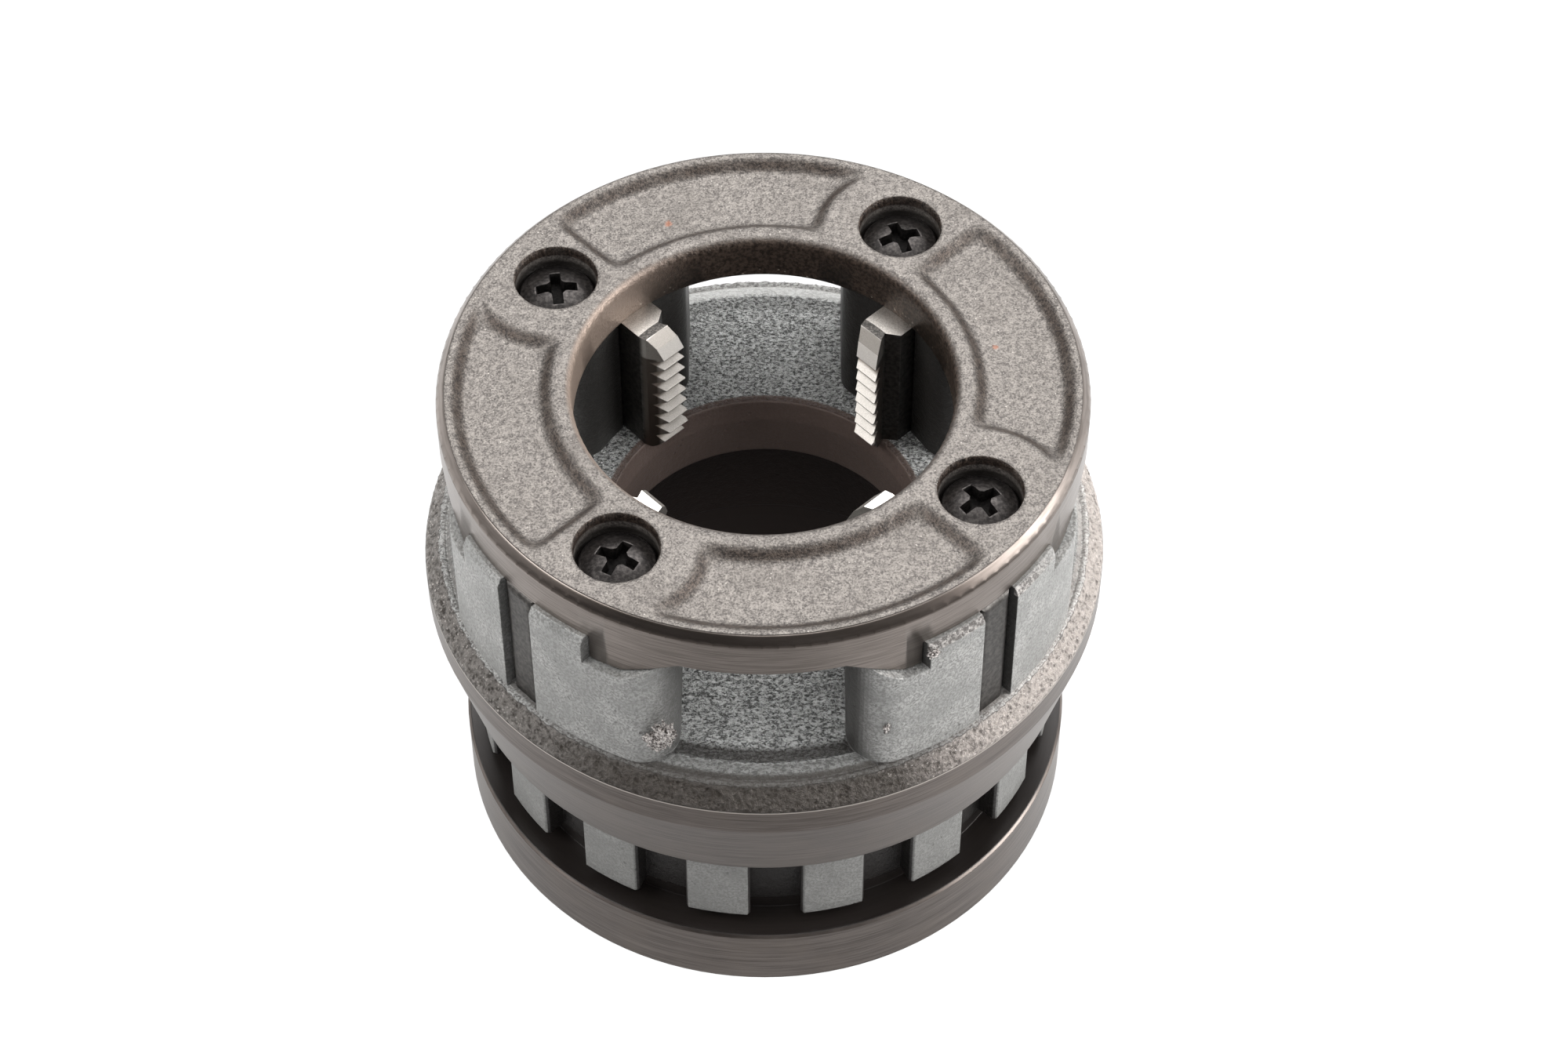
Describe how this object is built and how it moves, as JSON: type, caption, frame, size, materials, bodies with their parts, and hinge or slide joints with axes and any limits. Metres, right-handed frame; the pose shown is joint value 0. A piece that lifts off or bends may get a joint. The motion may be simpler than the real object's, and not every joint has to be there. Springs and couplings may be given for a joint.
{
  "type": "pipe threading die head",
  "caption": "Drop-in pipe threading die head: cutting chasers held in slotted posts under a round screwed cover, above a castellated drive band and guide bore.",
  "frame": {"origin": "centre of the bottom ring's underside, on the pipe axis", "axes": "+Z along the pipe axis, up from the bottom ring to the cover; X and Y run through the middle of the windows between the posts"},
  "size_m": [0.0954, 0.0954, 0.0791],
  "materials": {
    "body": "grey cast skin, machined ring and flange",
    "cover": "fine grained cast face, turned rim",
    "die": "ground top and teeth, dark oxide sides",
    "screw": "black oxide"
  },
  "bodies": {
    "root": {"die_head_body": "body", "cover_plate": "cover", "die_1": "die", "die_2": "die", "die_3": "die", "die_4": "die", "cover_screw_1": "screw", "cover_screw_2": "screw", "cover_screw_3": "screw", "cover_screw_4": "screw"}
  },
  "joints": []
}
